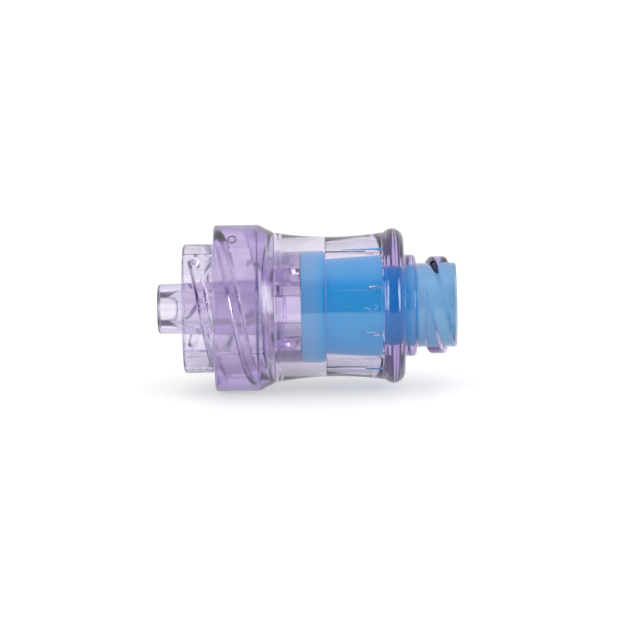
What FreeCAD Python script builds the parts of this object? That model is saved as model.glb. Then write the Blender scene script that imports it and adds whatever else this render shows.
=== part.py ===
import FreeCAD, Part

import math
import os

import Sketcher
from FreeCAD import Placement, Rotation, Vector

# Needle free connector, lying on its side with the male end towards -X.
# Each piece is drawn about its own X axis, with x = 0 at the end of the male tip,
# and is then laid down with the origin under the middle of the connector.
# An angle round the axis is measured from the side that faces -Y, upwards.

# The driving sizes, in millimetres and degrees.
SIZES = {
    # Male end: a tapered tip inside a threaded skirt.
    "tip_reach": 2.06,
    "tip_end_radius": 2.0,
    "tip_bore_radius": 1.0,
    "tip_rim_bevel": 0.25,
    "luer_slope": 0.03,
    "skirt_length": 2.54,
    "skirt_wall": 1.2,
    "skirt_rim_bevel": 0.25,
    "lock_depth": 5.94,
    "lock_root_radius": 4.0,
    "lock_mouth_bevel": 0.25,
    "lock_ridge_height": 0.5,
    "lock_ridge_crest": 0.55,
    "lock_ridge_foot": 1.05,
    "lock_ridge_setback": 0.45,
    "lock_start_angle": 65.7,
    "thread_lead": 5.0,
    # Collar, with the groove that the housing's tongue is welded into.
    "collar_length": 4.82,
    "collar_radius": 6.7,
    "collar_edge_bevel": 0.16,
    "collar_bevel_length": 1.21,
    "groove_depth": 0.92,
    "groove_margin": 0.08,
    "groove_width": 0.7,
    "weld_gap": 0.02,
    # Ring of posts that props the valve's flange.
    "post_length": 2.03,
    "post_wall": 2.3,
    "post_gap_angle": 51.0,
    "inlet_flare_radius": 1.6,
    "inlet_flare_depth": 0.9,
    # Waisted barrel, ring, shoulder and neck of the upper housing.
    "barrel_length": 8.85,
    "barrel_end_radius": 6.06,
    "barrel_waist_radius": 5.64,
    "barrel_head_radius": 5.95,
    "bore_radius": 4.64,
    "bore_clearance": 0.14,
    "seat_width": 0.29,
    "end_wall": 1.4,
    "rib_length": 1.75,
    "rib_thickness": 0.25,
    "rib_angle": 22.5,
    "ring_width": 1.6,
    "ring_radius": 6.25,
    "ring_flank_radius": 5.35,
    "shoulder_length": 0.95,
    "shoulder_step": 0.7,
    "shoulder_bevel": 0.15,
    "neck_length": 3.24,
    "neck_radius": 3.4,
    "mouth_radius": 2.18,
    "mouth_bevel": 0.14,
    # External thread of the female end.
    "lug_height": 0.52,
    "lug_crest": 0.95,
    "lug_back_flank": 0.46,
    "lug_front_flank": 0.24,
    "lug_relief": 0.7,
    "lug_start_angle": 39.5,
    # Silicone valve.
    "valve_gap": 0.03,
    "flange_thickness": 2.0,
    "flange_bevel": 0.3,
    "sleeve_clearance": 0.25,
    "sleeve_taper": 0.25,
    "sleeve_bevel": 0.4,
    "sleeve_wall": 1.25,
    "cavity_throat_radius": 1.25,
    "cavity_throat_length": 1.1,
    "head_thickness": 6.2,
    "slit_length": 2.4,
    "slit_width": 0.12,
    # How far the moulded posts and ribs are turned about the axis.
    "roll_angle": 5.3,
}

POST_COUNT = 3
RIB_COUNT = 8
THREAD_STARTS = 2
# How far a ridge, rib or cutter reaches into or past the wall that it meets.
OVERLAP = 0.25
TOUCHING = 0.01


class Size:
    """A length or angle that knows both its value and its formula on the sheet."""

    def __init__(self, value, formula):
        self.value = value
        self.formula = formula

    def join(self, sign, other, value):
        right = other.formula if isinstance(other, Size) else str(other)
        return Size(value, f"({self.formula} {sign} {right})")

    def __add__(self, other):
        return self.join("+", other, self.value + amount(other))

    def __sub__(self, other):
        return self.join("-", other, self.value - amount(other))

    def __mul__(self, other):
        return self.join("*", other, self.value * amount(other))

    def __truediv__(self, other):
        return self.join("/", other, self.value / amount(other))

    def __neg__(self):
        return Size(-self.value, f"(-1 * {self.formula})")


def amount(length):
    return length.value if isinstance(length, Size) else length


def size(alias):
    return Size(SIZES[alias], f"Sizes.{alias}")


def tangent_of(angle):
    return Size(math.tan(math.radians(angle.value)), f"tan({angle.formula} * 1 deg)")


ZERO = Size(0, "0")


def make_sheet(doc):
    sheet = doc.addObject("Spreadsheet::Sheet", "Sizes")
    for row, (alias, value) in enumerate(SIZES.items(), start=1):
        sheet.set(f"A{row}", alias)
        sheet.set(f"B{row}", str(value))
        sheet.setAlias(f"B{row}", alias)
    doc.recompute()


def bind(feature, path, length):
    feature.setExpression(path, length.formula)


def place_sketch(body, name, role):
    sketch = body.newObject("Sketcher::SketchObject", name)
    plane = next(part for part in body.Origin.OriginFeatures if part.Role == role)
    sketch.AttachmentSupport = [(plane, "")]
    sketch.MapMode = "FlatFace"
    return sketch


def turn_sketch(sketch, angle):
    """Turns a sketch that holds the axis, so that its upper side faces this angle."""
    turn = Size(90 - angle.value, f"(90 - {angle.formula})")
    sketch.AttachmentOffset = Placement(Vector(), Rotation(Vector(1, 0, 0), turn.value))
    bind(sketch, "AttachmentOffset.Rotation.Angle", turn)


def move_sketch(sketch, distance):
    """Moves a sketch that lies across the axis to this distance from the tip's end."""
    sketch.AttachmentOffset = Placement(Vector(0, 0, distance.value), Rotation())
    bind(sketch, "AttachmentOffset.Base.z", distance)


def fix_corner(sketch, item, end, corner):
    """Ties one end of a line, arc or point to its two lengths from the sketch's origin."""
    for kind, length, axis in (("DistanceX", corner[0], -2), ("DistanceY", corner[1], -1)):
        if length.value == 0:
            sketch.addConstraint(Sketcher.Constraint("PointOnObject", item, end, axis))
            continue
        ends = (-1, 1, item, end) if length.value > 0 else (item, end, -1, 1)
        positive = length if length.value > 0 else -length
        index = sketch.addConstraint(Sketcher.Constraint(kind, *ends, positive.value))
        name = f"{kind}{item}"
        sketch.renameConstraint(index, name)
        bind(sketch, f"Constraints.{name}", positive)


def draw_outline(sketch, corners, crowns=None):
    """Draws a closed outline through (x, y) pairs of sizes.

    Its sides are straight, but for each side numbered in crowns, which is an arc
    through the (x, y) pair given there.
    """
    crowns = crowns or {}
    count = len(corners)
    points = [Vector(x.value, y.value, 0) for x, y in corners]
    ends = []
    for side, (start, end) in enumerate(zip(points, points[1:] + points[:1])):
        if side not in crowns:
            sketch.addGeometry(Part.LineSegment(start, end))
            ends.append((1, 2))
            continue
        crown = Vector(crowns[side][0].value, crowns[side][1].value, 0)
        sketch.addGeometry(Part.Arc(start, crown, end))
        turns_left = (crown - start).cross(end - crown).z > 0
        ends.append((1, 2) if turns_left else (2, 1))
    for side in range(count):
        following = (side + 1) % count
        joined = Sketcher.Constraint("Coincident", side, ends[side][1], following, ends[following][0])
        sketch.addConstraint(joined)
    for side, corner in enumerate(corners):
        fix_corner(sketch, side, ends[side][0], corner)
    for side, crown in crowns.items():
        place = Vector(crown[0].value, crown[1].value, 0)
        mark = sketch.addGeometry(Part.Point(place), True)
        fix_corner(sketch, mark, 1, crown)
        sketch.addConstraint(Sketcher.Constraint("PointOnObject", mark, 1, side))


def turn_outline(body, name, corners, crowns=None, kind="Revolution"):
    """Turns an outline of (distance along the axis, radius) pairs once round the axis."""
    sketch = place_sketch(body, f"{name}_outline", "XZ_Plane")
    draw_outline(sketch, corners, crowns)
    turned = body.newObject(f"PartDesign::{kind}", name)
    turned.Profile = sketch
    turned.ReferenceAxis = (sketch, ["H_Axis"])
    turned.Angle = 360
    body.Document.recompute()
    return turned


def rims_at(shape, rims):
    """The names of the full circles at these (distance along the axis, radius) places."""
    names = []
    for number, edge in enumerate(shape.Edges, start=1):
        if not isinstance(edge.Curve, Part.Circle) or not edge.isClosed():
            continue
        x, radius = edge.Curve.Center.x, edge.Curve.Radius
        for at, wanted in rims:
            if abs(x - at.value) < TOUCHING and abs(radius - wanted.value) < TOUCHING:
                names.append(f"Edge{number}")
    if len(names) != len(rims):
        raise RuntimeError(f"{len(names)} of {len(rims)} rims were found")
    return names


def bevel_rims(body, name, rims, breadth):
    base = body.Tip
    bevel = body.newObject("PartDesign::Chamfer", name)
    bevel.Base = (base, rims_at(base.Shape, rims))
    bind(bevel, "Size", breadth)
    body.Document.recompute()
    if bevel.Shape.isNull() or not bevel.isValid():
        raise RuntimeError(f"{name} could not be bevelled")


def repeat_round(body, name, feature, axis, count):
    """Repeats a feature evenly round the axis, a (sketch, names of its axis) pair."""
    pattern = body.newObject("PartDesign::PolarPattern", name)
    pattern.Originals = [feature]
    pattern.Axis = axis
    pattern.Angle = 360
    pattern.Occurrences = count
    body.Tip = pattern
    body.Document.recompute()


def require_change(name, before, after, grows):
    """Stops the build where a feature missed the solid that it adds to or cuts."""
    if (after.Volume - before.Volume) * (1 if grows else -1) <= 0:
        raise RuntimeError(f"{name} changed nothing")


def run_thread(body, name, corners, start_angle, reach):
    """Runs a ridge, drawn as (distance, radius) pairs, along right-hand helices."""
    before = body.Tip.Shape
    sketch = place_sketch(body, f"{name}_section", "XZ_Plane")
    draw_outline(sketch, corners)
    turn_sketch(sketch, start_angle)
    body.Document.recompute()
    ridge = body.newObject("PartDesign::AdditiveHelix", name)
    ridge.Profile = sketch
    ridge.ReferenceAxis = (sketch, ["H_Axis"])
    ridge.Mode = "pitch-height-angle"
    ridge.LeftHanded = False
    bind(ridge, "Pitch", size("thread_lead"))
    bind(ridge, "Height", reach)
    body.Document.recompute()
    require_change(name, before, ridge.Shape, grows=True)
    repeat_round(body, f"{name}s", ridge, (sketch, ["H_Axis"]), THREAD_STARTS)


# Where the main planes lie along the axis, from the end of the tip.
SKIRT_RIM = size("tip_reach")
COLLAR_BACK = SKIRT_RIM + size("skirt_length")
SEAM = COLLAR_BACK + size("collar_length")
LOCK_FLOOR = SKIRT_RIM + size("lock_depth")
POST_TOP = SEAM + size("post_length")
RING_BACK = SEAM + size("barrel_length")
RING_FRONT = RING_BACK + size("ring_width")
BORE_END = RING_FRONT - size("end_wall")
SHOULDER_TOP = RING_FRONT + size("shoulder_length")
MOUTH = SHOULDER_TOP + size("neck_length")
FLANGE_BACK = POST_TOP + size("valve_gap")
FLANGE_TOP = FLANGE_BACK + size("flange_thickness")
FLANGE_SEAT = FLANGE_TOP + size("valve_gap")
SLEEVE_TOP = BORE_END - size("valve_gap")


# The radii that pieces share, so that what fits inside another follows it.
SKIRT_RADIUS = size("lock_root_radius") + size("skirt_wall")
POST_RADIUS = size("bore_radius") - size("bore_clearance")
GROOVE_INNER = size("bore_radius") + size("groove_margin")
GROOVE_OUTER = GROOVE_INNER + size("groove_width")
GUIDE_RADIUS = size("bore_radius") - size("seat_width")
SLEEVE_HEAD = GUIDE_RADIUS - size("sleeve_clearance")
SLEEVE_FOOT = SLEEVE_HEAD - size("sleeve_taper")
SHOULDER_RADIUS = size("neck_radius") + size("shoulder_step")


def tip_radius(distance):
    """The outer radius of the tapered tip, this far from its end."""
    return size("tip_end_radius") + size("luer_slope") * distance


def socket_radius(distance):
    """The radius of the tapered female bore, this far from the end of the tip."""
    return size("mouth_radius") - size("luer_slope") * (MOUTH - distance)


def make_base(doc):
    """The male end: tip, threaded skirt, collar and the ring of posts, in one moulding."""
    body = doc.addObject("PartDesign::Body", "luer_lock_base")
    groove_floor = SEAM - size("groove_depth")
    post_inner = POST_RADIUS - size("post_wall")
    outline = [
        (ZERO, size("tip_bore_radius")),
        (ZERO, size("tip_end_radius")),
        (LOCK_FLOOR, tip_radius(LOCK_FLOOR)),
        (LOCK_FLOOR, size("lock_root_radius")),
        (SKIRT_RIM + size("lock_mouth_bevel"), size("lock_root_radius")),
        (SKIRT_RIM, size("lock_root_radius") + size("lock_mouth_bevel")),
        (SKIRT_RIM, SKIRT_RADIUS),
        (COLLAR_BACK, SKIRT_RADIUS),
        (COLLAR_BACK, size("collar_radius")),
        (SEAM - size("collar_bevel_length"), size("collar_radius")),
        (SEAM, size("barrel_end_radius")),
        (SEAM, GROOVE_OUTER),
        (groove_floor, GROOVE_OUTER),
        (groove_floor, GROOVE_INNER),
        (SEAM, GROOVE_INNER),
        (SEAM, POST_RADIUS),
        (POST_TOP, POST_RADIUS),
        (POST_TOP, post_inner),
        (SEAM, post_inner),
        (SEAM, size("inlet_flare_radius")),
        (SEAM - size("inlet_flare_depth"), size("tip_bore_radius")),
    ]
    turn_outline(body, "base_turned", outline)
    tip_rim = [(ZERO, size("tip_end_radius"))]
    skirt_rim = [(SKIRT_RIM, SKIRT_RADIUS)]
    collar_rim = [(COLLAR_BACK, size("collar_radius"))]
    bevel_rims(body, "tip_rim", tip_rim, size("tip_rim_bevel"))
    bevel_rims(body, "skirt_rim", skirt_rim, size("skirt_rim_bevel"))
    bevel_rims(body, "collar_rim", collar_rim, size("collar_edge_bevel"))
    cut_post_gaps(body)
    run_lock_thread(body)
    return body


def cut_post_gaps(body):
    """Open sectors between the posts, down to the floor that they stand on."""
    before = body.Tip.Shape
    reach = POST_RADIUS + OVERLAP / 2
    half_width = reach * tangent_of(size("post_gap_angle") / 2)
    sketch = place_sketch(body, "post_gap_sector", "YZ_Plane")
    draw_outline(sketch, [(ZERO, ZERO), (-reach, half_width), (-reach, -half_width)])
    move_sketch(sketch, POST_TOP)
    body.Document.recompute()
    gap = body.newObject("PartDesign::Pocket", "post_gap")
    gap.Profile = sketch
    bind(gap, "Length", size("post_length"))
    body.Document.recompute()
    require_change("post_gap", before, gap.Shape, grows=False)
    repeat_round(body, "post_gaps", gap, (sketch, ["N_Axis"]), POST_COUNT)


def run_lock_thread(body):
    """Two ridges that start behind the skirt's rim and run into the floor."""
    back = SKIRT_RIM + size("lock_ridge_setback")
    front = back + size("lock_ridge_foot")
    middle = back + size("lock_ridge_foot") / 2
    root = size("lock_root_radius")
    crest = root - size("lock_ridge_height")
    section = [
        (back, root + OVERLAP),
        (back, root),
        (middle - size("lock_ridge_crest") / 2, crest),
        (middle + size("lock_ridge_crest") / 2, crest),
        (front, root),
        (front, root + OVERLAP),
    ]
    run_thread(body, "lock_ridge", section, size("lock_start_angle"), LOCK_FLOOR - back)


def make_housing(doc):
    """The upper housing: tongue, waisted barrel, ring, shoulder and threaded neck."""
    body = doc.addObject("PartDesign::Body", "upper_housing")
    gap = size("weld_gap")
    foot = SEAM + gap
    tongue_end = SEAM - size("groove_depth") + gap
    tongue_inner = GROOVE_INNER + gap
    barrel_side, ring_side = 3, 4
    outline = [
        (tongue_end, tongue_inner),
        (tongue_end, GROOVE_OUTER - gap),
        (foot, GROOVE_OUTER - gap),
        (foot, size("barrel_end_radius")),
        (RING_BACK, size("barrel_head_radius")),
        (RING_FRONT, size("ring_flank_radius")),
        (RING_FRONT, SHOULDER_RADIUS),
        (SHOULDER_TOP, SHOULDER_RADIUS),
        (SHOULDER_TOP, size("neck_radius")),
        (MOUTH, size("neck_radius")),
        (MOUTH, size("mouth_radius")),
        (BORE_END, socket_radius(BORE_END)),
        (BORE_END, GUIDE_RADIUS),
        (FLANGE_SEAT, GUIDE_RADIUS),
        (FLANGE_SEAT, size("bore_radius")),
        (foot, size("bore_radius")),
        (foot, tongue_inner),
    ]
    crowns = {
        barrel_side: ((foot + RING_BACK) / 2, size("barrel_waist_radius")),
        ring_side: ((RING_BACK + RING_FRONT) / 2, size("ring_radius")),
    }
    turn_outline(body, "housing_turned", outline, crowns)
    mouth = [(MOUTH, size("neck_radius")), (MOUTH, size("mouth_radius"))]
    shoulder = [(SHOULDER_TOP, SHOULDER_RADIUS)]
    bevel_rims(body, "mouth_rims", mouth, size("mouth_bevel"))
    bevel_rims(body, "shoulder_rim", shoulder, size("shoulder_bevel"))
    run_lug_thread(body)
    add_guide_ribs(body)
    return body


def run_lug_thread(body):
    """Two ridges on the neck, cut square behind the relief and level with the mouth."""
    neck = size("neck_radius")
    crest = neck + size("lug_height")
    half_crest = size("lug_crest") / 2
    middle = SHOULDER_TOP
    back = middle - half_crest - size("lug_back_flank")
    front = middle + half_crest + size("lug_front_flank")
    section = [
        (back, neck - OVERLAP),
        (back, neck),
        (middle - half_crest, crest),
        (middle + half_crest, crest),
        (front, neck),
        (front, neck - OVERLAP),
    ]
    reach = MOUTH - back
    run_thread(body, "lug_ridge", section, size("lug_start_angle"), reach)
    relief_end = SHOULDER_TOP + size("lug_relief")
    past_mouth = MOUTH + reach
    clear = crest + OVERLAP
    trim(body, "lug_relief", SHOULDER_TOP, relief_end, neck, clear)
    trim(body, "lug_ends", MOUTH, past_mouth, size("mouth_radius"), clear)


def trim(body, name, start, end, inner, outer):
    """Turns away a ring between two distances along the axis and two radii."""
    before = body.Tip.Shape
    outline = [(start, inner), (end, inner), (end, outer), (start, outer)]
    ring = turn_outline(body, name, outline, kind="Groove")
    require_change(name, before, ring.Shape, grows=False)


def add_guide_ribs(body):
    """Short tapered ribs on the guide bore, which centre the valve under the end wall."""
    before = body.Tip.Shape
    guide = GUIDE_RADIUS
    crest = SLEEVE_HEAD + size("valve_gap")
    outline = [
        (BORE_END - size("rib_length"), guide),
        (BORE_END, crest),
        (BORE_END + OVERLAP, crest),
        (BORE_END + OVERLAP, guide + OVERLAP),
        (BORE_END - size("rib_length"), guide + OVERLAP),
    ]
    sketch = place_sketch(body, "guide_rib_side", "XZ_Plane")
    draw_outline(sketch, outline)
    turn_sketch(sketch, size("rib_angle"))
    body.Document.recompute()
    rib = body.newObject("PartDesign::Pad", "guide_rib")
    rib.Profile = sketch
    rib.SideType = "Symmetric"
    bind(rib, "Length", size("rib_thickness"))
    body.Document.recompute()
    require_change("guide_rib", before, rib.Shape, grows=True)
    repeat_round(body, "guide_ribs", rib, (sketch, ["H_Axis"]), RIB_COUNT)


def make_valve(doc):
    """The silicone valve: a clamped flange, a hollow sleeve and a solid head with a slit."""
    body = doc.addObject("PartDesign::Body", "silicone_valve")
    gap = size("valve_gap")
    head_back = MOUTH - size("head_thickness")
    throat = head_back - size("cavity_throat_length")
    cavity = SLEEVE_FOOT - size("sleeve_wall")
    outline = [
        (FLANGE_BACK, cavity),
        (FLANGE_BACK, POST_RADIUS),
        (FLANGE_TOP, POST_RADIUS),
        (FLANGE_TOP, SLEEVE_FOOT),
        (SLEEVE_TOP, SLEEVE_HEAD),
        (SLEEVE_TOP, socket_radius(SLEEVE_TOP) - gap),
        (MOUTH, size("mouth_radius") - gap),
        (MOUTH, ZERO),
        (head_back, ZERO),
        (head_back, size("cavity_throat_radius")),
        (throat, cavity),
    ]
    turn_outline(body, "valve_turned", outline)
    flange = [(FLANGE_TOP, POST_RADIUS)]
    sleeve = [(SLEEVE_TOP, SLEEVE_HEAD)]
    bevel_rims(body, "flange_rim", flange, size("flange_bevel"))
    bevel_rims(body, "sleeve_rim", sleeve, size("sleeve_bevel"))
    cut_slit(body)
    return body


def cut_slit(body):
    """A straight slit from the face of the head through to the cavity."""
    before = body.Tip.Shape
    long, wide = size("slit_length") / 2, size("slit_width") / 2
    sketch = place_sketch(body, "slit_section", "YZ_Plane")
    draw_outline(sketch, [(-long, -wide), (long, -wide), (long, wide), (-long, wide)])
    move_sketch(sketch, MOUTH)
    body.Document.recompute()
    slit = body.newObject("PartDesign::Pocket", "slit")
    slit.Profile = sketch
    bind(slit, "Length", size("head_thickness") + OVERLAP)
    body.Document.recompute()
    require_change("slit", before, slit.Shape, grows=False)


def lay_down(body):
    """Puts the origin under the middle of the connector, level with its lowest side."""
    turn = Rotation(Vector(-1, 0, 0), SIZES["roll_angle"])
    body.Placement = Placement(Vector(), turn)
    bind(body, "Placement.Base.x", -MOUTH / 2)
    bind(body, "Placement.Base.z", size("collar_radius"))
    bind(body, "Placement.Rotation.Angle", size("roll_angle"))


def check(doc, pieces):
    for part in doc.Objects:
        if "Invalid" in part.State or "Error" in part.State:
            raise RuntimeError(f"{part.Label} failed: {part.State}")
    for piece in pieces:
        shape = piece.Shape
        if shape.isNull() or not shape.isValid() or len(shape.Solids) != 1:
            raise RuntimeError(f"{piece.Label} is not one valid solid")


def main():
    doc = FreeCAD.newDocument("needle_free_connector")
    make_sheet(doc)
    pieces = [make_base(doc), make_housing(doc), make_valve(doc)]
    for piece in pieces:
        lay_down(piece)
    doc.recompute()
    check(doc, pieces)
    os.makedirs("parts", exist_ok=True)
    for piece in pieces:
        piece.Shape.exportStep(f"parts/{piece.Label}.step")
        box = piece.Shape.optimalBoundingBox()
        print(f"{piece.Label}: {piece.Shape.Volume:.1f} mm3, {len(piece.Shape.Faces)} faces")
        print(f"  X {box.XMin:.2f} {box.XMax:.2f}  Z {box.ZMin:.2f} {box.ZMax:.2f}")


main()
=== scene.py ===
import math

import bmesh
import bpy
from bpy.props import FloatProperty, FloatVectorProperty, IntProperty, PointerProperty
from bpy.types import Operator, Panel, PropertyGroup
from mathutils import Matrix, Quaternion, Vector


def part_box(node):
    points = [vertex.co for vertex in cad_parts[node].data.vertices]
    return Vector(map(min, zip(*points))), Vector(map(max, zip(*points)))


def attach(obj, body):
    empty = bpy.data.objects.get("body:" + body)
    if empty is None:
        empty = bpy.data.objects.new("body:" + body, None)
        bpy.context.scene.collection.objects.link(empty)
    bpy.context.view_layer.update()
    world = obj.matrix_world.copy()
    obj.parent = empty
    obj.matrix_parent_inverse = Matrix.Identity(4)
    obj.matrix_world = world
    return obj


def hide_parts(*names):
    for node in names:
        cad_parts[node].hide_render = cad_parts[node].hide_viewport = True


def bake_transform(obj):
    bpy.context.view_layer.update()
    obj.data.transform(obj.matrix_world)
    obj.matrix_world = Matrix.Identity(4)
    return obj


bl_info = {
    "name": "Needle Free Connector",
    "version": (1, 0, 0),
    "blender": (4, 5, 0),
    "location": "View3D > Sidebar > Connector",
    "description": "Builds a clear luer connector with a blue silicone valve, and its studio",
    "category": "Add Mesh",
}

# The connector lies along X with its male end towards -X. Lengths are in metres.
# An angle round the axis is in degrees, from the side that faces -Y, upwards.

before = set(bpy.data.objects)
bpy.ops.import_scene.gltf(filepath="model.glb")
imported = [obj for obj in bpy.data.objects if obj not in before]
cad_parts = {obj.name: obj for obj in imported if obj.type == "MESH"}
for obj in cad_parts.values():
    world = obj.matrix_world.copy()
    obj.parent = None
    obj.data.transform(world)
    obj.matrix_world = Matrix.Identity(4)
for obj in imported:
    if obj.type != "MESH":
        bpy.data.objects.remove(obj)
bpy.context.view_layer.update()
BASE_LOW, BASE_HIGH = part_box("luer_lock_base")
HOUSING_LOW, HOUSING_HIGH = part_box("upper_housing")
VALVE_LOW, VALVE_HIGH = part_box("silicone_valve")

MM = 0.001
TIP_END = BASE_LOW.x
MOUTH = HOUSING_HIGH.x
POST_TOP = BASE_HIGH.x
AXIS_HEIGHT = (BASE_LOW.z + BASE_HIGH.z) / 2
COLLAR_RADIUS = (BASE_HIGH.z - BASE_LOW.z) / 2

# Columns of faces round every piece. The first stands half a column past the roll, to meet the posts' walls.
COLUMNS = 360
COLUMN_ANGLE = 360 / COLUMNS
SAME_PLACE = 0.004 * MM
ON_LINE = 0.001 * MM
SAME_POINT = 0.0001 * MM
SHARP_EDGE = 40
ON_RIB = 1.25 * COLUMN_ANGLE
FIT_GAP = 0.03 * MM
MARK_SQUEEZE = 0.55
MARK_HEIGHT = 0.1 * MM
WAVE_HEIGHT = 0.004 * MM
TURNED_HEIGHT = 0.0012 * MM
GRAIN_HEIGHT = 0.006 * MM
SATIN_EDGE = 0.2 * MM
BACKDROP_SIZE = 1.5
FLOOR_ROUGHNESS = 0.7
FLOOR_GLEAM = 0.2


def length(name, description, millimetres):
    return FloatProperty(name=name, description=description, default=millimetres * MM, unit="LENGTH", precision=5)


def angle(name, description, degrees):
    return FloatProperty(name=name, description=description, default=degrees)


def colour(name, description, default):
    return FloatVectorProperty(name=name, description=description, default=default, subtype="COLOR", min=0, max=1)


def triple(name, description, default):
    return FloatVectorProperty(name=name, description=description, default=default)


def number(name, description, default):
    return FloatProperty(name=name, description=description, default=default)


class SharedSizes(PropertyGroup):
    """Sizes that more than one piece is fitted to."""

    roll: angle("Roll", "How far the posts and ribs are turned about the axis", 5.3)
    luer_slope: number("Luer Slope", "Growth of a luer cone's radius along its axis", 0.03)
    thread_lead: length("Thread Lead", "Advance of either thread in one turn", 5.0)
    thread_starts: IntProperty(name="Thread Starts", description="Ridges side by side on a thread", default=2)
    post_length: length("Post Length", "Height of the posts above the seam", 2.03)
    bore_radius: length("Bore Radius", "Inner radius of the barrel", 4.64)
    bore_clearance: length("Bore Clearance", "Air round the posts and the flange", 0.14)
    groove_margin: length("Groove Margin", "From the bore to the weld groove", 0.08)
    groove_width: length("Groove Width", "Width of the weld groove", 0.7)
    groove_depth: length("Groove Depth", "Depth of the weld groove", 0.92)
    weld_gap: length("Weld Gap", "Gap left round the housing's tongue", 0.02)
    barrel_end_radius: length("Barrel End Radius", "Outer radius where the two mouldings meet", 6.06)
    mouth_radius: length("Mouth Radius", "Radius of the female bore at its mouth", 2.18)


class BaseSizes(PropertyGroup):
    """The male end: tip, threaded skirt, collar and posts."""

    tip_reach: length("Tip Reach", "How far the tip stands out of the skirt", 2.06)
    tip_radius: length("Tip Radius", "Outer radius at the tip's end", 2.0)
    tip_bore: length("Tip Bore", "Radius of the tip's bore", 1.0)
    skirt_length: length("Skirt Length", "From the skirt's rim to the collar", 2.54)
    skirt_wall: length("Skirt Wall", "Wall outside the thread", 1.2)
    lock_depth: length("Lock Depth", "From the skirt's rim to the floor", 5.94)
    lock_root: length("Lock Root", "Radius of the wall between the ridges", 4.0)
    ridge_height: length("Ridge Height", "Height of the lock thread's ridges", 0.5)
    ridge_crest: length("Ridge Crest", "Width of a ridge at its crest", 0.42)
    ridge_foot: length("Ridge Foot", "Width of a ridge at its foot", 1.05)
    ridge_start: length("Ridge Start", "From the skirt's rim to a ridge's first middle", 0.975)
    ridge_angle: angle("Ridge Angle", "Where the first ridge starts", 71.0)
    flute_depth: length("Flute Depth", "Depth of the fine flutes that the core leaves along the skirt's wall", 0.2)
    flute_width: angle("Flute Width", "Width of a flute", 4.6)
    flute_angles: triple("Flute Angles", "Where the flutes lie", (76, -38, -71))
    bevel_length: length("Bevel Length", "Length of the collar's bevel", 1.21)
    post_wall: length("Post Wall", "Thickness of a post", 2.3)
    post_gap: angle("Post Gap", "Width of the gap between two posts", 51.0)
    post_count: IntProperty(name="Posts", description="Posts round the valve's foot", default=3)
    flare_radius: length("Flare Radius", "Radius of the bore's flare between the posts", 1.6)
    flare_depth: length("Flare Depth", "Depth of that flare", 0.9)
    gate_place: length("Gate Place", "From the tip's end to the gate mark on the collar", 6.13)
    gate_angle: angle("Gate Angle", "Where the gate mark lies", 66.0)


class HousingSizes(PropertyGroup):
    """The upper housing: barrel, ring, shoulder and threaded neck."""

    waist_radius: length("Waist Radius", "Outer radius at the barrel's waist", 5.64)
    head_radius: length("Head Radius", "Outer radius of the barrel at the ring", 5.95)
    barrel_length: length("Barrel Length", "From the seam to the ring", 8.85)
    seat_width: length("Seat Width", "Width of the step over the flange", 0.29)
    end_wall: length("End Wall", "Wall that closes the bore", 1.4)
    ring_width: length("Ring Width", "Width of the rounded ring", 1.6)
    ring_radius: length("Ring Radius", "Radius of the ring's crest", 6.25)
    ring_flank: length("Ring Flank", "Radius where the ring meets its flat front", 5.35)
    shoulder_length: length("Shoulder Length", "Length of the step before the neck", 0.95)
    shoulder_step: length("Shoulder Step", "How far the step stands out of the neck", 0.7)
    neck_radius: length("Neck Radius", "Radius of the neck between its ridges", 3.4)
    lug_height: length("Lug Height", "Height of the neck's ridges", 0.52)
    lug_crest: length("Lug Crest", "Width of a ridge at its crest", 0.95)
    lug_back: length("Lug Back Flank", "Width of the flank that faces the shoulder", 0.46)
    lug_front: length("Lug Front Flank", "Width of the flank that faces the mouth", 0.24)
    lug_relief: length("Lug Relief", "Plain neck between the shoulder and the ridges", 0.7)
    lug_middle: length("Lug Middle", "From the mouth to a ridge's middle at the lug angle", -1.52)
    lug_angle: angle("Lug Angle", "Where that middle is measured", 101.0)
    rib_length: length("Rib Length", "Length of the guide ribs", 1.75)
    rib_angle: angle("Rib Angle", "Angle of the first guide rib", 22.5)
    rib_count: IntProperty(name="Ribs", description="Guide ribs round the bore", default=8)
    gate_place: length("Gate Place", "From the tip's end to the gate mark on the barrel", 16.8)
    gate_radius: length("Gate Radius", "Radius of the barrel at that mark", 5.83)
    gate_angle: angle("Gate Angle", "Where that mark lies", 6.5)
    pin_place: length("Pin Place", "From the tip's end to the pin mark beside it", 17.5)
    pin_radius: length("Pin Radius", "Radius of the barrel at the pin mark", 5.88)
    pin_angle: angle("Pin Angle", "Where the pin mark lies", 9.5)


class ValveSizes(PropertyGroup):
    """The silicone valve: flange, hollow sleeve and slit head."""

    flange_thickness: length("Flange Thickness", "Thickness of the clamped flange", 2.0)
    sleeve_clearance: length("Sleeve Clearance", "Air round the sleeve's head", 0.25)
    sleeve_taper: length("Sleeve Taper", "How much slimmer the sleeve's foot is", 0.25)
    sleeve_wall: length("Sleeve Wall", "Wall of the sleeve at its foot", 1.25)
    head_thickness: length("Head Thickness", "Length of the solid head", 6.2)
    throat_radius: length("Throat Radius", "Radius of the cavity at the head", 1.25)
    throat_length: length("Throat Length", "Length over which the cavity narrows", 1.1)
    bore_contact: length("Bore Contact", "How far the soft head presses into the bore's wall", 0.006)
    slit_length: length("Slit Length", "Length of the slit across the head", 2.4)
    slit_width: length("Slit Width", "Width of the slit", 0.06)
    slit_depth: length("Slit Depth", "How deep the slit is open", 1.5)
    stiff_head: length("Stiff Head", "Length at the mouth that moves without bending", 1.6)


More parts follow.
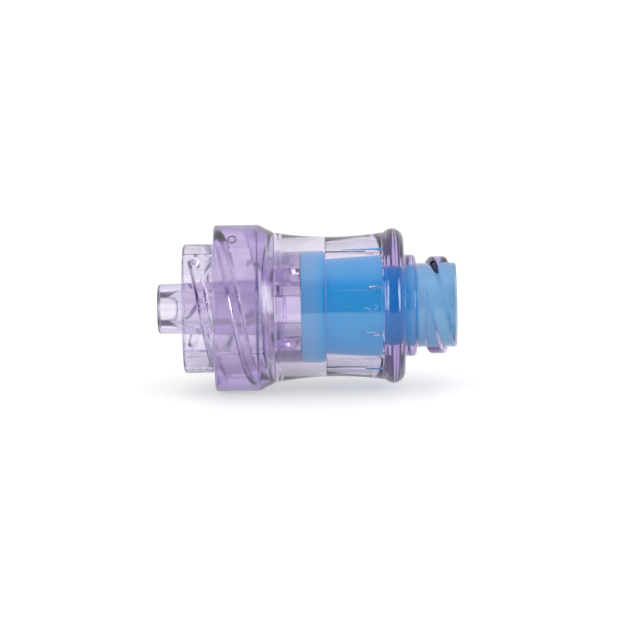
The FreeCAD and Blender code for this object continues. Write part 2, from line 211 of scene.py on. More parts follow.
class FinishSettings(PropertyGroup):
    """Colours and finishes."""

    clear_index: number("Refractive Index", "Of polycarbonate", 1.585)
    base_tint: colour("Base Tint", "What a thick piece of the base lets through", (0.48, 0.30, 0.73))
    base_depth: number("Base Tint Depth", "Absorption of the base, per metre", 165.0)
    housing_tint: colour("Housing Tint", "What a thick piece of the housing lets through", (0.48, 0.30, 0.73))
    housing_depth: number("Housing Tint Depth", "Absorption of the housing, per metre", 150.0)
    silicone: colour("Silicone", "Colour of the valve", (0.003, 0.49, 0.92))
    # Painted veil of reflected light: the flange is paler than the rest of the valve, standing in for the light that
    # the thin air gap round it reflects.
    silicone_flange_painted_veil: colour("Silicone Flange", "Colour of the valve's flange", (0.15, 0.52, 0.90))
    # Painted shade: the bare face at the mouth is darker than the valve's body, holding back the strong light of the
    # sky and the right window on it.
    silicone_face_painted_shade: colour("Silicone Face", "Colour of the valve's bare face at the mouth", (0.006, 0.27, 0.60))
    # Painted light: the head inside the neck is paler than the valve's body, standing in for light that reaches it
    # from the open mouth.
    silicone_head_painted_light: colour("Silicone Head", "Colour of the valve inside the neck", (0.30, 0.77, 1.0))
    collar_satin: number("Collar Satin", "Roughness that the collar has more than the rest", 0.11)
    ring_satin: number("Ring Satin", "Roughness that the ring has more than the rest", 0.03)
    silicone_roughness: number("Silicone Roughness", "Of the valve", 0.32)
    silicone_index: number("Silicone Index", "Refractive index of silicone", 1.41)
    floor_fill: number("Floor Fill", "Share of the floor that shows as plain white", 0.45)
    floor: colour("Floor", "Colour of the floor", (0.9, 0.9, 0.905))


class StudioSettings(PropertyGroup):
    """Camera and light."""

    elevation: angle("Camera Elevation", "Above the horizon", 11.0)
    roll: angle("Camera Roll", "Turn about the line of sight", -0.9)
    distance: FloatProperty(name="Camera Distance", description="To the axis", default=0.35, unit="LENGTH")
    lens: number("Lens", "Focal length in millimetres", 244.0)
    aim_right: length("Aim Right", "How far the aim lies towards the female end", 1.03)
    aim_down: length("Aim Down", "How far the aim lies under the axis", 1.1)
    dark_tint: colour("Dark Tint", "Colour of the room behind the camera", (0.66, 0.44, 0.90))
    sky: number("Sky", "Brightness of the white walls", 1.28)
    seen_sky: number("Seen Sky", "Brightness of the room where it shows in or through a piece", 0.95)
    dark_side: number("Dark Side", "Brightness of the room behind the camera", 0.32)
    dark_full: number("Dark Full", "How far behind the camera the room is dimmest, as a share of Y", -0.35)
    dark_edge: number("Dark Edge", "Where the dim part of the room ends, as a share of Y", 0.10)
    window_core: number("Window Core", "Share of a window that is evenly bright", 0.35)
    dusk: number("Dusk", "Brightness up to which the room shows its dark tint in full", 0.6)
    ceiling_glow: number("Ceiling Glow", "What the ceiling adds", 0.12)
    ceiling_start: number("Ceiling Start", "Sine of the elevation where the ceiling begins", 0.62)
    ceiling_end: number("Ceiling End", "Sine of the elevation where it is whole", 0.97)
    right_window: number("Right Window", "What the window towards the female end adds", 8.0)
    left_window: number("Left Window", "What the window towards the male end adds", 7.0)
    window_light: number("Window Light", "Share of a window that lights the pieces, past its gleam on them", 0.7)
    right_place: triple("Right Place", "Where the window towards the female end lies", (0.82, -0.42, 0.24))
    left_place: triple("Left Place", "Where the window towards the male end lies", (-0.82, -0.42, 0.20))
    right_reach: triple("Right Reach", "How far the right window reaches from its middle", (0.24, 0.28, 0.56))
    left_reach: triple("Left Reach", "How far the left window reaches from its middle", (0.24, 0.28, 0.58))


def sizes():
    return bpy.context.scene.connector_shared


def on_circle(x, radius, degrees):
    turn = math.radians(degrees)
    return Vector((x, -radius * math.cos(turn), AXIS_HEIGHT + radius * math.sin(turn)))


def radius_of(point):
    return math.hypot(point.y, point.z - AXIS_HEIGHT)


def angle_of(point):
    return math.degrees(math.atan2(point.z - AXIS_HEIGHT, -point.y))


def set_radius(vertex, radius):
    vertex.co = on_circle(vertex.co.x, radius, angle_of(vertex.co))


def nearest_turn(degrees, step):
    """How far an angle lies from the nearest whole number of steps."""
    return (degrees + step / 2) % step - step / 2


def smooth_step(value):
    value = min(max(value, 0), 1)
    return value * value * (3 - 2 * value)


def arc_through(start, crown, end, count):
    """Points of the circular arc from start to end through crown, without its two ends."""
    a, b, c = Vector(start), Vector(crown), Vector(end)
    first, second = b - a, c - b
    cross = first.x * second.y - first.y * second.x
    middle_first, middle_second = (a + b) / 2, (b + c) / 2
    gap = middle_second - middle_first
    reach = (gap.x * second.x + gap.y * second.y) / cross
    centre = middle_first + Vector((-first.y, first.x)) * reach
    radius = (a - centre).length
    begin = math.atan2(a.y - centre.y, a.x - centre.x)
    finish = math.atan2(c.y - centre.y, c.x - centre.x)
    sweep = finish - begin
    if cross < 0 and sweep > 0:
        sweep -= 2 * math.pi
    if cross > 0 and sweep < 0:
        sweep += 2 * math.pi
    turns = [begin + sweep * step / count for step in range(1, count)]
    return [(centre.x + radius * math.cos(turn), centre.y + radius * math.sin(turn)) for turn in turns]


def find_side(bm, start, end):
    """The longest edge of a flat outline on the straight line between two of its corners."""
    first_angle = sizes().roll + COLUMN_ANGLE / 2
    one, two = on_circle(*start, first_angle), on_circle(*end, first_angle)
    line = (two - one).normalized()
    found = []
    for edge in bm.edges:
        away = max(((v.co - one) - line * (v.co - one).dot(line)).length for v in edge.verts)
        if away < ON_LINE and 0 <= (edge.verts[0].co - one).dot(line) <= (two - one).length:
            found.append(edge)
    return max(found, key=lambda edge: edge.calc_length())


def spin_outline(outline, rounds, cuts):
    """Spins a closed outline of (x, radius) points once round the axis.

    rounds lists (corners, radius, segments), and cuts lists (start, end, count).
    """
    bm = bmesh.new()
    first_angle = sizes().roll + COLUMN_ANGLE / 2
    corners = {point: bm.verts.new(on_circle(*point, first_angle)) for point in outline}
    loop = list(corners.values())
    for i in range(1, len(loop)):
        bm.edges.new((loop[i - 1], loop[i]))
    if min(radius for x, radius in outline) > 0:
        bm.edges.new((loop[-1], loop[0]))
    for points, radius, segments in rounds:
        bmesh.ops.bevel(bm, geom=[corners[point] for point in points], offset=radius, offset_type="OFFSET",
                        affect="VERTICES", segments=segments, profile=0.5, material=-1, clamp_overlap=True)
    for start, end, count in cuts:
        bmesh.ops.subdivide_edges(bm, edges=[find_side(bm, start, end)], cuts=count)
    centre = (0, 0, AXIS_HEIGHT)
    bmesh.ops.spin(bm, geom=bm.verts[:] + bm.edges[:], cent=centre, axis=(1, 0, 0), angle=math.pi / 2,
                   space=Matrix.Identity(4), steps=COLUMNS // 4, use_merge=False)
    quarter = bm.verts[:] + bm.edges[:] + bm.faces[:]
    for turns in (1, 2, 3):
        copy = bmesh.ops.duplicate(bm, geom=quarter)["geom"]
        moved = [item for item in copy if isinstance(item, bmesh.types.BMVert)]
        bmesh.ops.rotate(bm, verts=moved, cent=centre, matrix=Matrix.Rotation(turns * math.pi / 2, 3, "X"))
    bmesh.ops.remove_doubles(bm, verts=bm.verts[:], dist=SAME_POINT)
    bmesh.ops.recalc_face_normals(bm, faces=bm.faces[:])
    return bm


def ridge_offset(point, middle, start_angle):
    """How far a point lies from the nearest ridge's middle along X, and that ridge's turns so far."""
    shared = sizes()
    done = (start_angle - angle_of(point)) / 360
    along = (point.x - middle) / shared.thread_lead
    turns = done + round((along - done) * shared.thread_starts) / shared.thread_starts
    return point.x - middle - turns * shared.thread_lead, turns


def finish_piece(bm, name, material, body=None):
    """Turns a bmesh into a smooth piece whose place is in its mesh."""
    mesh = bpy.data.meshes.new(name)
    bm.to_mesh(mesh)
    bm.free()
    mesh.polygons.foreach_set("use_smooth", [True] * len(mesh.polygons))
    mesh.set_sharp_from_angle(angle=math.radians(SHARP_EDGE))
    mesh.materials.append(material)
    piece = bpy.data.objects.new(name, mesh)
    bpy.context.scene.collection.objects.link(piece)
    weights = piece.modifiers.new("face_weights", "WEIGHTED_NORMAL")
    weights.keep_sharp = True
    if body:
        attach(piece, body)
    return piece


def new_material(name):
    material = bpy.data.materials.new(name)
    material.use_nodes = True
    return material, material.node_tree, material.node_tree.nodes["Principled BSDF"]


def add_noise(tree, scale, detail):
    place = tree.nodes.new("ShaderNodeTexCoord")
    noise = tree.nodes.new("ShaderNodeTexNoise")
    noise.inputs["Scale"].default_value = scale
    noise.inputs["Detail"].default_value = detail
    tree.links.new(place.outputs["Object"], noise.inputs["Vector"])
    return noise.outputs["Fac"]


def remap(tree, value, low, high, to_low, to_high, smooth=False):
    ranged = tree.nodes.new("ShaderNodeMapRange")
    ranged.interpolation_type = "SMOOTHSTEP" if smooth else "LINEAR"
    for socket, amount in zip(ranged.inputs[1:5], (low, high, to_low, to_high)):
        socket.default_value = amount
    tree.links.new(value, ranged.inputs["Value"])
    return ranged.outputs["Result"]


def combine(tree, operation, one, two):
    maths = tree.nodes.new("ShaderNodeMath")
    maths.operation = operation
    for socket, value in zip(maths.inputs, (one, two)):
        if isinstance(value, (int, float)):
            socket.default_value = value
        else:
            tree.links.new(value, socket)
    return maths.outputs["Value"]


def mix_colours(tree, share, one, two):
    mix = tree.nodes.new("ShaderNodeMix")
    mix.data_type = "RGBA"
    tree.links.new(share, mix.inputs[0])
    for socket, value in zip(mix.inputs[6:8], (one, two)):
        if isinstance(value, tuple):
            socket.default_value = value
        else:
            tree.links.new(value, socket)
    return mix.outputs[2]


def add_bump(tree, height, distance, after=None):
    bump = tree.nodes.new("ShaderNodeBump")
    bump.inputs["Distance"].default_value = distance
    tree.links.new(height, bump.inputs["Height"])
    if after:
        tree.links.new(after, bump.inputs["Normal"])
    return bump.outputs["Normal"]


def vector_maths(tree, operation, one, two=(0, 0, 0)):
    maths = tree.nodes.new("ShaderNodeVectorMath")
    maths.operation = operation
    tree.links.new(one, maths.inputs[0])
    maths.inputs[1].default_value = two
    return maths.outputs["Value" if operation == "LENGTH" else "Vector"]


def ring_mark(tree, centre, radius, breadth):
    """A raised ring, longer round the axis than along it, such as a gate or a pin leaves."""
    place = tree.nodes.new("ShaderNodeTexCoord")
    away = vector_maths(tree, "SUBTRACT", place.outputs["Object"], centre)
    shortened = vector_maths(tree, "MULTIPLY", away, (1, MARK_SQUEEZE, 1))
    reach = vector_maths(tree, "LENGTH", shortened)
    off_ring = combine(tree, "ABSOLUTE", combine(tree, "SUBTRACT", reach, radius), 0)
    return remap(tree, off_ring, 0, breadth, 1, 0, smooth=True)


def turned_marks(tree, scale):
    """Fine rings round the axis, as a turned mould leaves."""
    place = tree.nodes.new("ShaderNodeTexCoord")
    squeezed = vector_maths(tree, "MULTIPLY", place.outputs["Object"], (scale, 25, 25))
    noise = tree.nodes.new("ShaderNodeTexNoise")
    noise.inputs["Scale"].default_value = 1
    noise.inputs["Detail"].default_value = 2
    tree.links.new(squeezed, noise.inputs["Vector"])
    return noise.outputs["Fac"]


def clear_polycarbonate(name, tint, depth, marks, satin):
    """Clear tinted plastic with moulding waves, turned rings and gate marks, satin over one stretch of X."""
    material, tree, shader = new_material(name)
    shader.inputs["Base Color"].default_value = (1, 1, 1, 1)
    shader.inputs["Transmission Weight"].default_value = 1
    shader.inputs["IOR"].default_value = bpy.context.scene.connector_finish.clear_index
    place = tree.nodes.new("ShaderNodeTexCoord")
    parts = tree.nodes.new("ShaderNodeSeparateXYZ")
    tree.links.new(place.outputs["Object"], parts.inputs["Vector"])
    start, end, most = satin
    over = combine(tree, "MULTIPLY", remap(tree, parts.outputs["X"], start, start + SATIN_EDGE, 0, most),
                   remap(tree, parts.outputs["X"], end - SATIN_EDGE, end, 1, 0))
    scuffs = remap(tree, add_noise(tree, 900, 3), 0.35, 0.75, 0.0, 0.05)
    tree.links.new(combine(tree, "ADD", scuffs, over), shader.inputs["Roughness"])
    waves = add_bump(tree, add_noise(tree, 260, 1), WAVE_HEIGHT)
    waves = add_bump(tree, turned_marks(tree, 9000), TURNED_HEIGHT, after=waves)
    for centre, radius, breadth in marks:
        waves = add_bump(tree, ring_mark(tree, centre, radius, breadth), MARK_HEIGHT, after=waves)
    tree.links.new(waves, shader.inputs["Normal"])
    absorption = tree.nodes.new("ShaderNodeVolumeAbsorption")
    absorption.inputs["Color"].default_value = (*tint, 1)
    absorption.inputs["Density"].default_value = depth
    output = tree.nodes["Material Output"]
    tree.links.new(absorption.outputs["Volume"], output.inputs["Volume"])
    return material


def soft_silicone(name, finish, paler_from, flange_top):
    """Satin silicone with a faint mottle and a fine grain; paler at its flange with a painted veil of reflected
    light, paler near the mouth with painted light, and darker on its bare face with painted shade.
    """
    material, tree, shader = new_material(name)
    place = tree.nodes.new("ShaderNodeTexCoord")
    parts = tree.nodes.new("ShaderNodeSeparateXYZ")
    tree.links.new(place.outputs["Object"], parts.inputs["Vector"])
    along = parts.outputs["X"]
    mottle = remap(tree, add_noise(tree, 420, 3), 0.3, 0.7, -0.05, 0.07)
    # Mask for the flange's painted veil of reflected light.
    flange = remap(tree, along, flange_top - 1.1 * MM, flange_top + 0.1 * MM, 1, 0, smooth=True)
    # Mask for the painted light on the head inside the neck, with the random mottle added to it.
    head = combine(tree, "ADD", remap(tree, along, paler_from, paler_from + 1.6 * MM, 0, 1, smooth=True), mottle)
    # Mask for the painted shade on the bare face at the mouth.
    face = remap(tree, along, MOUTH - 0.12 * MM, MOUTH - 0.04 * MM, 0, 1, smooth=True)
    body = mix_colours(tree, flange, (*finish.silicone, 1), (*finish.silicone_flange_painted_veil, 1))
    body = mix_colours(tree, head, body, (*finish.silicone_head_painted_light, 1))
    tree.links.new(mix_colours(tree, face, body, (*finish.silicone_face_painted_shade, 1)), shader.inputs["Base Color"])
    shader.inputs["Roughness"].default_value = finish.silicone_roughness
    shader.inputs["IOR"].default_value = finish.silicone_index
    shader.inputs["Specular IOR Level"].default_value = 0.3
    tree.links.new(add_bump(tree, add_noise(tree, 2600, 2), GRAIN_HEIGHT), shader.inputs["Normal"])
    return material


class CONNECTOR_OT_make_base(Operator):
    """Builds the male end with its tip, threaded skirt, collar and posts"""

    bl_idname = "connector.make_base"
    bl_label = "Luer Lock Base"

    def execute(self, context):
        shared, own = context.scene.connector_shared, context.scene.connector_base
        skirt_rim = TIP_END + own.tip_reach
        collar_back = skirt_rim + own.skirt_length
        lock_floor = skirt_rim + own.lock_depth
        seam = POST_TOP - shared.post_length
        groove_floor = seam - shared.groove_depth
        groove_inner = shared.bore_radius + shared.groove_margin
        groove_outer = groove_inner + shared.groove_width
        post_outer = shared.bore_radius - shared.bore_clearance
        post_inner = post_outer - own.post_wall
        skirt_radius = own.lock_root + own.skirt_wall
        tip_foot = own.tip_radius + shared.luer_slope * (lock_floor - TIP_END)
        outline = [
            (TIP_END, own.tip_bore),
            (TIP_END, own.tip_radius),
            (lock_floor, tip_foot),
            (lock_floor, own.lock_root),
            (skirt_rim, own.lock_root),
            (skirt_rim, skirt_radius),
            (collar_back, skirt_radius),
            (collar_back, COLLAR_RADIUS),
            (seam - own.bevel_length, COLLAR_RADIUS),
            (seam, shared.barrel_end_radius),
            (seam, groove_outer),
            (groove_floor, groove_outer),
            (groove_floor, groove_inner),
            (seam, groove_inner),
            (seam, post_outer),
            (seam, post_inner),
            (seam, own.flare_radius),
            (seam - own.flare_depth, own.tip_bore),
        ]
        rounds = [
            ([(TIP_END, own.tip_radius), (skirt_rim, skirt_radius)], 0.3 * MM, 5),
            ([(skirt_rim, own.lock_root), (collar_back, COLLAR_RADIUS)], 0.2 * MM, 4),
            ([(collar_back, skirt_radius), (lock_floor, own.lock_root)], 0.12 * MM, 3),
            ([(TIP_END, own.tip_bore), (seam - own.bevel_length, COLLAR_RADIUS)], 0.08 * MM, 2),
            ([(seam, shared.barrel_end_radius)], 0.05 * MM, 2),
        ]
        cuts = [
            ((lock_floor, own.lock_root), (skirt_rim, own.lock_root), 130),
            ((TIP_END, own.tip_radius), (lock_floor, tip_foot), 6),
        ]
        bm = spin_outline(outline, rounds, cuts)
        raise_lock_ridges(bm, own, skirt_rim)
        raise_posts(bm, own, seam, post_inner, post_outer)
        finish = context.scene.connector_finish
        gate = on_circle(TIP_END + own.gate_place, COLLAR_RADIUS, own.gate_angle)
        marks = [(gate, 0.3 * MM, 0.1 * MM)]
        satin = (collar_back, seam, finish.collar_satin)
        plastic = clear_polycarbonate("base_polycarbonate", finish.base_tint, finish.base_depth, marks, satin)
        piece = finish_piece(bm, "luer_lock_base_clear", plastic, "connector")
        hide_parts("luer_lock_base")
        return {"FINISHED"}


def raise_lock_ridges(bm, own, skirt_rim):
    """Raises the two ridges of the lock thread out of the skirt's inner wall."""
    half_crest = own.ridge_crest / 2
    flank = (own.ridge_foot - own.ridge_crest) / 2
    for vertex in bm.verts:
        radius = radius_of(vertex.co)
        if abs(radius - own.lock_root) > SAME_PLACE:
            continue
        away, turns = ridge_offset(vertex.co, skirt_rim + own.ridge_start, own.ridge_angle)
        before_end = max(own.ridge_foot / 2 - turns * 2 * math.pi * own.lock_root, 0)
        rise = 1 - smooth_step((math.hypot(away, before_end) - half_crest) / flank)
        around = angle_of(vertex.co)
        off_flute = min(abs(nearest_turn(around - flute, 360)) for flute in own.flute_angles)
        flute = (1 - smooth_step(2 * off_flute / own.flute_width)) * (1 - smooth_step(4 * rise))
        set_radius(vertex, radius - own.ridge_height * rise + own.flute_depth * flute)


def raise_posts(bm, own, seam, post_inner, post_outer):
    """Raises the posts from the floor inside the seam."""
    posts = []
    for face in bm.faces:
        if any(abs(v.co.x - seam) > SAME_PLACE for v in face.verts):
            continue
        middle = face.calc_center_median()
        if not post_inner < radius_of(middle) < post_outer:
            continue
        off_gap = abs(nearest_turn(angle_of(middle) - sizes().roll, 360 / own.post_count))
        if off_gap > own.post_gap / 2:
            posts.append(face)
    grown = bmesh.ops.extrude_face_region(bm, geom=posts)["geom"]
    bmesh.ops.delete(bm, geom=posts, context="FACES_ONLY")
    tops = [v for v in grown if isinstance(v, bmesh.types.BMVert)]
    bmesh.ops.translate(bm, verts=tops, vec=(sizes().post_length, 0, 0))
    edges = set()
    for vertex in tops:
        for edge in vertex.link_edges:
            if edge.is_manifold and edge.calc_face_angle() > 1:
                edges.add(edge)
    bmesh.ops.bevel(bm, geom=list(edges), offset=0.05 * MM, offset_type="OFFSET", affect="EDGES",
                    segments=2, profile=0.5, material=-1, clamp_overlap=True)


class CONNECTOR_OT_make_housing(Operator):
    """Builds the upper housing with its barrel, ring, shoulder and threaded neck"""

    bl_idname = "connector.make_housing"
    bl_label = "Upper Housing"

    def execute(self, context):
        shared, own = context.scene.connector_shared, context.scene.connector_housing
        seam = POST_TOP - shared.post_length
        gap = shared.weld_gap
        foot = seam + gap
        groove_inner = shared.bore_radius + shared.groove_margin
        tongue_inner, tongue_outer = groove_inner + gap, groove_inner + shared.groove_width - gap
        tongue_end = HOUSING_LOW.x
        ring_back = seam + own.barrel_length
        ring_front = ring_back + own.ring_width
        bore_end = ring_front - own.end_wall
        shoulder_top = ring_front + own.shoulder_length
        shoulder_radius = own.neck_radius + own.shoulder_step
        guide = shared.bore_radius - own.seat_width
        seat = VALVE_LOW.x + context.scene.connector_valve.flange_thickness + FIT_GAP
        socket_end = shared.mouth_radius - shared.luer_slope * (MOUTH - bore_end)
        relief_end = shoulder_top + own.lug_relief
        waist = ((foot + ring_back) / 2, own.waist_radius)
        crest = ((ring_back + ring_front) / 2, own.ring_radius)
        barrel_foot, barrel_head = (foot, shared.barrel_end_radius), (ring_back, own.head_radius)
        ring_end = (ring_front, own.ring_flank)
        outline = [(tongue_end, tongue_inner), (tongue_end, tongue_outer), (foot, tongue_outer), barrel_foot]
        outline += arc_through(barrel_foot, waist, barrel_head, 24) + [barrel_head]
        outline += arc_through(barrel_head, crest, ring_end, 16) + [ring_end]
        outline += [
            (ring_front, shoulder_radius),
            (shoulder_top, shoulder_radius),
            (shoulder_top, own.neck_radius),
            (MOUTH, own.neck_radius),
            (MOUTH, shared.mouth_radius),
            (bore_end, socket_end),
            (bore_end, guide),
            (bore_end - own.rib_length, guide),
            (seat, guide),
            (seat, shared.bore_radius),
            (foot, shared.bore_radius),
            (foot, tongue_inner),
        ]
        rounds = [
            ([(MOUTH, own.neck_radius), (MOUTH, shared.mouth_radius)], 0.16 * MM, 3),
            ([(shoulder_top, shoulder_radius)], 0.3 * MM, 5),
            ([(foot, shared.barrel_end_radius)], 0.05 * MM, 2),
            ([(ring_front, shoulder_radius)], 0.12 * MM, 3),
            ([(seat, guide)], 0.06 * MM, 2),
            ([(shoulder_top, own.neck_radius)], 0.2 * MM, 4),
        ]
        cuts = [
            ((shoulder_top, own.neck_radius), (MOUTH, own.neck_radius), 80),
            ((bore_end, guide), (bore_end - own.rib_length, guide), 6),
        ]
        bm = spin_outline(outline, rounds, cuts)
        raise_lugs(bm, own, relief_end)
        raise_ribs(bm, own, guide, bore_end)
        finish = context.scene.connector_finish
        gate = on_circle(TIP_END + own.gate_place, own.gate_radius, own.gate_angle)
        pin = on_circle(TIP_END + own.pin_place, own.pin_radius, own.pin_angle)
        marks = [(gate, 0.26 * MM, 0.1 * MM), (pin, 0.16 * MM, 0.08 * MM)]
        satin = (ring_back, ring_front, finish.ring_satin)
        tint, depth = finish.housing_tint, finish.housing_depth
        plastic = clear_polycarbonate("housing_polycarbonate", tint, depth, marks, satin)
        piece = finish_piece(bm, "upper_housing_clear", plastic, "connector")
        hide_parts("upper_housing")
        return {"FINISHED"}


def raise_lugs(bm, own, relief_end):
    """Raises the two ridges of the neck's outer thread."""
    half_crest = own.lug_crest / 2
    for vertex in bm.verts:
        radius = radius_of(vertex.co)
        if abs(radius - own.neck_radius) > SAME_PLACE or vertex.co.x < relief_end - 0.4 * MM:
            continue
        away, turns = ridge_offset(vertex.co, MOUTH + own.lug_middle, own.lug_angle)
        flank = own.lug_front if away > 0 else own.lug_back
        rise = 1 - smooth_step((abs(away) - half_crest) / flank)
        rise *= smooth_step((vertex.co.x - relief_end) / (0.12 * MM) + 0.5)
        set_radius(vertex, radius + own.lug_height * rise)


def raise_ribs(bm, own, guide, bore_end):
    """Raises the short tapered ribs that centre the valve."""
    crest = guide - (bpy.context.scene.connector_valve.sleeve_clearance - FIT_GAP)
    for vertex in bm.verts:
        if abs(radius_of(vertex.co) - guide) > 0.15 * MM or vertex.co.x < bore_end - own.rib_length:
            continue
        off_rib = abs(nearest_turn(angle_of(vertex.co) - sizes().roll - own.rib_angle, 360 / own.rib_count))
        if off_rib > ON_RIB:
            continue
        share = 0.3 + 0.7 * (vertex.co.x - bore_end + own.rib_length) / own.rib_length
        set_radius(vertex, min(radius_of(vertex.co), guide - (guide - crest) * share))


class CONNECTOR_OT_make_valve(Operator):
    """Builds the blue silicone valve, which in the real part bends between the flange and the head; this mesh is one
    rigid piece
    """

    bl_idname = "connector.make_valve"
    bl_label = "Silicone Valve"

    def execute(self, context):
        shared, own = context.scene.connector_shared, context.scene.connector_valve
        housing = context.scene.connector_housing
        seam = POST_TOP - shared.post_length
        bore_end = seam + housing.barrel_length + housing.ring_width - housing.end_wall
        flange_back = VALVE_LOW.x
        flange_top = flange_back + own.flange_thickness
        flange_radius = shared.bore_radius - shared.bore_clearance
        sleeve_head = shared.bore_radius - housing.seat_width - own.sleeve_clearance
        sleeve_foot = sleeve_head - own.sleeve_taper
        cavity = sleeve_foot - own.sleeve_wall
        sleeve_top = bore_end - FIT_GAP
        head_back = MOUTH - own.head_thickness
        throat = head_back - own.throat_length
        neck_foot = shared.mouth_radius - shared.luer_slope * (MOUTH - sleeve_top) + own.bore_contact
        outline = [
            (head_back, 0),
            (head_back, own.throat_radius),
            (throat, cavity),
            (flange_back, cavity),
            (flange_back, flange_radius),
            (flange_top, flange_radius),
            (flange_top, sleeve_foot),
            (sleeve_top, sleeve_head),
            (sleeve_top, neck_foot),
            (MOUTH, shared.mouth_radius + own.bore_contact),
            (MOUTH, 0),
        ]
        rounds = [
            ([(flange_top, flange_radius)], 0.32 * MM, 5),
            ([(flange_back, flange_radius)], 0.1 * MM, 3),
            ([(sleeve_top, sleeve_head)], 0.4 * MM, 5),
            ([(MOUTH, shared.mouth_radius + own.bore_contact)], 0.08 * MM, 3),
        ]
        cuts = [
            ((throat, cavity), (flange_back, cavity), 20),
            ((flange_top, sleeve_foot), (sleeve_top, sleeve_head), 24),
            ((sleeve_top, neck_foot), (MOUTH, shared.mouth_radius + own.bore_contact), 24),
        ]
        bm = spin_outline(outline, rounds, cuts)
        cut_slit(bm, own)
        finish = context.scene.connector_finish
        # Where the painted light on the valve's head begins.
        paler_from = bore_end + housing.end_wall - 0.2 * MM
        silicone = soft_silicone("valve_silicone", finish, paler_from, flange_top)
        piece = finish_piece(bm, "silicone_valve_soft", silicone)
        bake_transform(piece)
        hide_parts("silicone_valve")
        return {"FINISHED"}


def cut_slit(bm, own):
    """Opens a narrow slit across the head's face."""
    turn = math.radians(sizes().roll)
    along = Vector((0, math.cos(turn), -math.sin(turn)))
    across = Vector((0, math.sin(turn), math.cos(turn)))
    centre = Vector((MOUTH, 0, AXIS_HEIGHT))
    for direction, half in ((along, own.slit_length / 2), (across, own.slit_width / 2)):
        for side in (-1, 1):
            front = [face for face in bm.faces if all(abs(v.co.x - MOUTH) < SAME_PLACE for v in face.verts)]
            geometry = front + list({edge for face in front for edge in face.edges})
            geometry += list({vertex for face in front for vertex in face.verts})
            bmesh.ops.bisect_plane(bm, geom=geometry, dist=SAME_POINT,
                                   plane_co=centre + direction * half * side, plane_no=direction)
    opening = []
    for face in bm.faces:
        middle = face.calc_center_median() - centre
        on_face = all(abs(v.co.x - MOUTH) < SAME_PLACE for v in face.verts)
        if on_face and abs(middle.dot(along)) < own.slit_length / 2 and abs(middle.dot(across)) < own.slit_width / 2:
            opening.append(face)
    if not opening:
        raise RuntimeError("the slit found no face to open")
    grown = bmesh.ops.extrude_face_region(bm, geom=opening)["geom"]
    bmesh.ops.delete(bm, geom=opening, context="FACES")
    floor = [item for item in grown if isinstance(item, bmesh.types.BMVert)]
    bmesh.ops.translate(bm, verts=floor, vec=(-own.slit_depth, 0, 0))


class CONNECTOR_OT_set_stage(Operator):
    """Sets the floor, the room with its light, and the camera"""

    bl_idname = "connector.set_stage"
    bl_label = "Studio"

    def execute(self, context):
        scene = context.scene
        scene.view_settings.view_transform = "Standard"
        lay_floor(scene)
        light_room(scene)
        place_camera(scene)
        return {"FINISHED"}


def lay_floor(scene):
    bm = bmesh.new()
    bmesh.ops.create_grid(bm, x_segments=1, y_segments=1, size=BACKDROP_SIZE)
    material, tree, shader = new_material("pale_floor")
    shader.inputs["Base Color"].default_value = (*scene.connector_finish.floor, 1)
    shader.inputs["Roughness"].default_value = FLOOR_ROUGHNESS
    shader.inputs["Specular IOR Level"].default_value = FLOOR_GLEAM
    light_path = tree.nodes.new("ShaderNodeLightPath")
    seen = combine(tree, "MAXIMUM", light_path.outputs["Is Camera Ray"], light_path.outputs["Is Glossy Ray"])
    seen = combine(tree, "MAXIMUM", seen, light_path.outputs["Is Transmission Ray"])
    white = tree.nodes.new("ShaderNodeEmission")
    white.inputs["Strength"].default_value = 1
    mix = tree.nodes.new("ShaderNodeMixShader")
    tree.links.new(combine(tree, "MULTIPLY", seen, scene.connector_finish.floor_fill), mix.inputs[0])
    tree.links.new(shader.outputs["BSDF"], mix.inputs[1])
    tree.links.new(white.outputs["Emission"], mix.inputs[2])
    tree.links.new(mix.outputs["Shader"], tree.nodes["Material Output"].inputs["Surface"])
    mesh = bpy.data.meshes.new("floor")
    bm.to_mesh(mesh)
    bm.free()
    mesh.materials.append(material)
    floor = bpy.data.objects.new("floor", mesh)
    scene.collection.objects.link(floor)


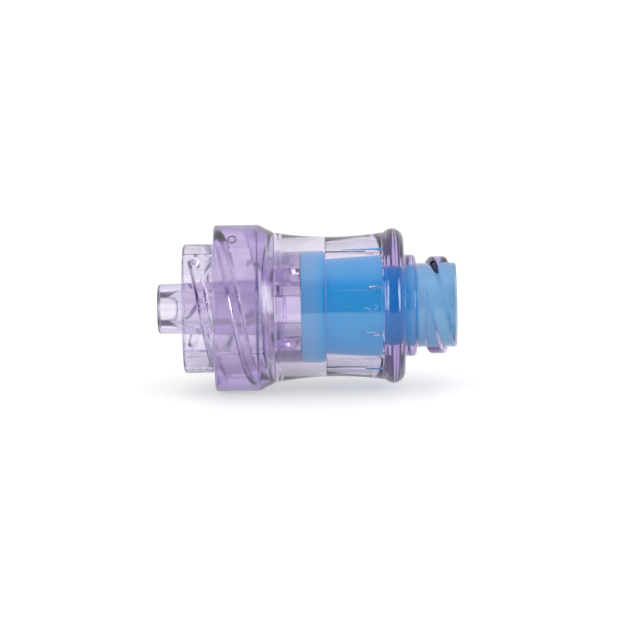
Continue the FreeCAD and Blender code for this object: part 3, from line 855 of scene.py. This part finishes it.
def light_room(scene):
    """A white room, dimmer behind the camera, with a pale ceiling and a soft window on each side.

    The dim part shows only in and through the pieces. What lights them is the bright room all round.
    """
    studio = scene.connector_studio
    world = bpy.data.worlds.new("room")
    world.use_nodes = True
    scene.world = world
    tree = world.node_tree
    place = tree.nodes.new("ShaderNodeTexCoord")
    parts = tree.nodes.new("ShaderNodeSeparateXYZ")
    tree.links.new(place.outputs["Generated"], parts.inputs["Vector"])
    ceiling = remap(tree, parts.outputs["Z"], studio.ceiling_start, studio.ceiling_end, 0, 1, smooth=True)
    in_front = remap(tree, parts.outputs["Y"], studio.dark_full, studio.dark_edge, 1, 0, smooth=True)
    under_ceiling = combine(tree, "SUBTRACT", 1, ceiling)
    light_path = tree.nodes.new("ShaderNodeLightPath")
    scattered = combine(tree, "MINIMUM", light_path.outputs["Diffuse Depth"], 1)
    dim = combine(tree, "MULTIPLY", in_front, under_ceiling)
    dim = combine(tree, "MULTIPLY", dim, combine(tree, "SUBTRACT", 1, scattered))
    bright = remap(tree, scattered, 0, 1, studio.seen_sky, studio.sky)
    bright = combine(tree, "MULTIPLY", bright, combine(tree, "SUBTRACT", 1, dim))
    walls = combine(tree, "ADD", bright, combine(tree, "MULTIPLY", dim, studio.dark_side))
    level = combine(tree, "ADD", walls, combine(tree, "MULTIPLY", ceiling, studio.ceiling_glow))
    windows = (
        (studio.right_window, studio.right_place, studio.right_reach),
        (studio.left_window, studio.left_place, studio.left_reach),
    )
    in_window = remap(tree, scattered, 0, 1, 1, studio.window_light)
    for glow, centre, reach in windows:
        away = vector_maths(tree, "SUBTRACT", place.outputs["Generated"], centre)
        distance = vector_maths(tree, "LENGTH", vector_maths(tree, "DIVIDE", away, reach))
        window = remap(tree, distance, studio.window_core, 1, 1, 0, smooth=True)
        window = combine(tree, "MULTIPLY", window, in_window)
        level = combine(tree, "ADD", level, combine(tree, "MULTIPLY", window, glow))
    seen = light_path.outputs["Is Camera Ray"]
    hidden = combine(tree, "MULTIPLY", level, combine(tree, "SUBTRACT", 1, seen))
    background = tree.nodes["Background"]
    shade = remap(tree, level, studio.dusk, studio.seen_sky, 1, 0)
    shade = combine(tree, "MULTIPLY", shade, combine(tree, "SUBTRACT", 1, seen))
    tree.links.new(mix_colours(tree, shade, (1, 1, 1, 1), (*studio.dark_tint, 1)), background.inputs["Color"])
    tree.links.new(combine(tree, "ADD", hidden, seen), background.inputs["Strength"])


def place_camera(scene):
    studio = scene.connector_studio
    lens = bpy.data.cameras.new("camera")
    lens.lens = studio.lens
    lens.clip_start, lens.clip_end = 0.01, 10
    camera = bpy.data.objects.new("camera", lens)
    rise = math.radians(studio.elevation)
    sight = Vector((0, math.cos(rise), -math.sin(rise)))
    aim = Vector((studio.aim_right, 0, AXIS_HEIGHT - studio.aim_down))
    camera.location = aim - sight * studio.distance
    camera.rotation_mode = "QUATERNION"
    camera.rotation_quaternion = sight.to_track_quat("-Z", "Y") @ Quaternion((0, 0, 1), math.radians(studio.roll))
    scene.collection.objects.link(camera)
    scene.camera = camera


class CONNECTOR_PT_panel(Panel):
    """Lists the connector's pieces"""

    bl_idname = "CONNECTOR_PT_panel"
    bl_label = "Needle Free Connector"
    bl_space_type = "VIEW_3D"
    bl_region_type = "UI"
    bl_category = "Connector"

    def draw(self, context):
        column = self.layout.column()
        for operator in OPERATORS:
            column.operator(operator.bl_idname)
        for group in GROUPS:
            box = self.layout.box()
            settings = getattr(context.scene, group)
            for name in settings.bl_rna.properties.keys():
                if name not in ("rna_type", "name"):
                    box.prop(settings, name)


GROUPS = {
    "connector_shared": SharedSizes,
    "connector_base": BaseSizes,
    "connector_housing": HousingSizes,
    "connector_valve": ValveSizes,
    "connector_finish": FinishSettings,
    "connector_studio": StudioSettings,
}
OPERATORS = (
    CONNECTOR_OT_make_base,
    CONNECTOR_OT_make_housing,
    CONNECTOR_OT_make_valve,
    CONNECTOR_OT_set_stage,
)


def register():
    for group in (*GROUPS.values(), *OPERATORS, CONNECTOR_PT_panel):
        bpy.utils.register_class(group)
    for name, group in GROUPS.items():
        setattr(bpy.types.Scene, name, PointerProperty(type=group))


def unregister():
    for name in GROUPS:
        delattr(bpy.types.Scene, name)
    for group in reversed((*GROUPS.values(), *OPERATORS, CONNECTOR_PT_panel)):
        bpy.utils.unregister_class(group)


def main():
    register()
    bpy.ops.connector.make_base()
    bpy.ops.connector.make_housing()
    bpy.ops.connector.make_valve()
    bpy.ops.connector.set_stage()


if __name__ == "__main__":
    main()
